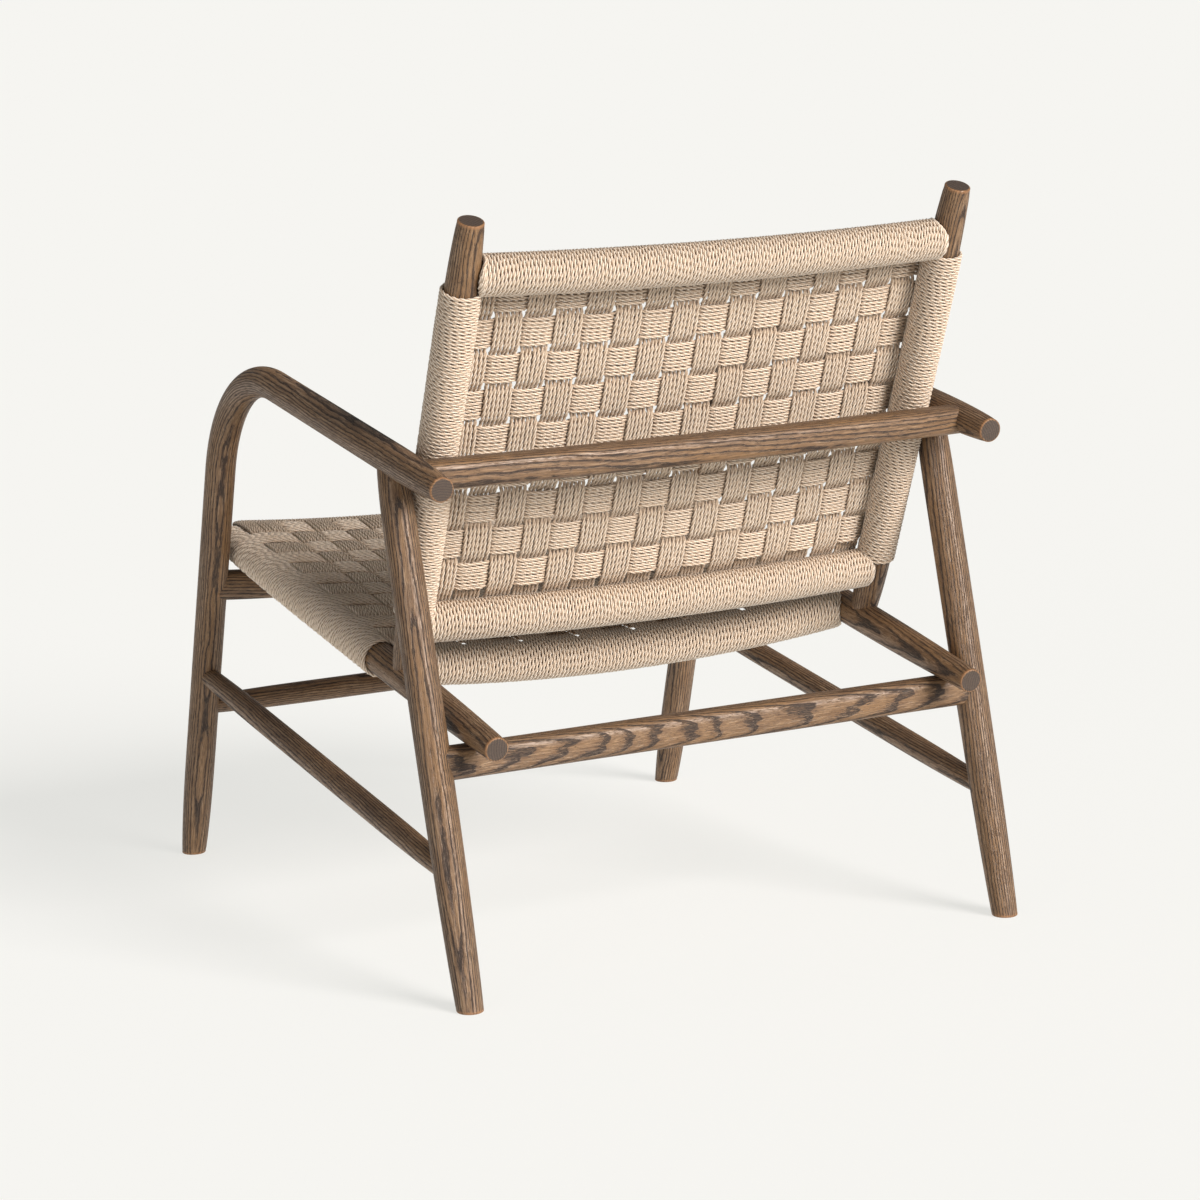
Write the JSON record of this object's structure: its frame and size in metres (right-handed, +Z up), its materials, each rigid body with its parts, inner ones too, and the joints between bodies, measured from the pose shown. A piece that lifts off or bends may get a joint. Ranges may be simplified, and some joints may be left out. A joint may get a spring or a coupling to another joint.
{
  "type": "armchair",
  "caption": "Low wooden armchair: bent round-bar arm and front-leg frames, turned rails, and a wide seat and leaning back woven in over-under bands of twisted cord.",
  "frame": {"origin": "on the floor, midway between the two side frames and midway between the front rims of the front feet and the rear rims of the rear feet", "axes": "+Z up, the chair faces -Y, the sitter's left is +X"},
  "size_m": [0.6552, 0.7822, 0.7708],
  "materials": {
    "frame_wood": "dark brown stained open-grain ash with black pores, satin",
    "cord": "twisted natural paper cord, matte",
    "bolt_steel": "dull zinc plated"
  },
  "bodies": {
    "root": {"arm_leg_left": "frame_wood", "arm_leg_right": "frame_wood", "rear_leg_left": "frame_wood", "rear_leg_right": "frame_wood", "side_stretcher_left": "frame_wood", "side_stretcher_right": "frame_wood", "front_stretcher": "frame_wood", "front_cross_rail": "frame_wood", "rear_stretcher": "frame_wood", "back_cross_rail": "frame_wood", "seat_rail_left": "frame_wood", "seat_rail_right": "frame_wood", "seat_front_rail": "frame_wood", "seat_rear_rail": "frame_wood", "back_post_left": "frame_wood", "back_post_right": "frame_wood", "back_top_rail": "frame_wood", "back_bottom_rail": "frame_wood", "back_dowels": "frame_wood", "seat_side_wrap_left": "cord", "seat_side_wrap_right": "cord", "seat_front_wrap": "cord", "seat_rear_wrap": "cord", "seat_weave": "cord", "back_top_wrap": "cord", "back_bottom_wrap": "cord", "post_wrap_left": "cord", "post_wrap_right": "cord", "back_weave": "cord", "seat_bolts": "bolt_steel"}
  },
  "joints": []
}
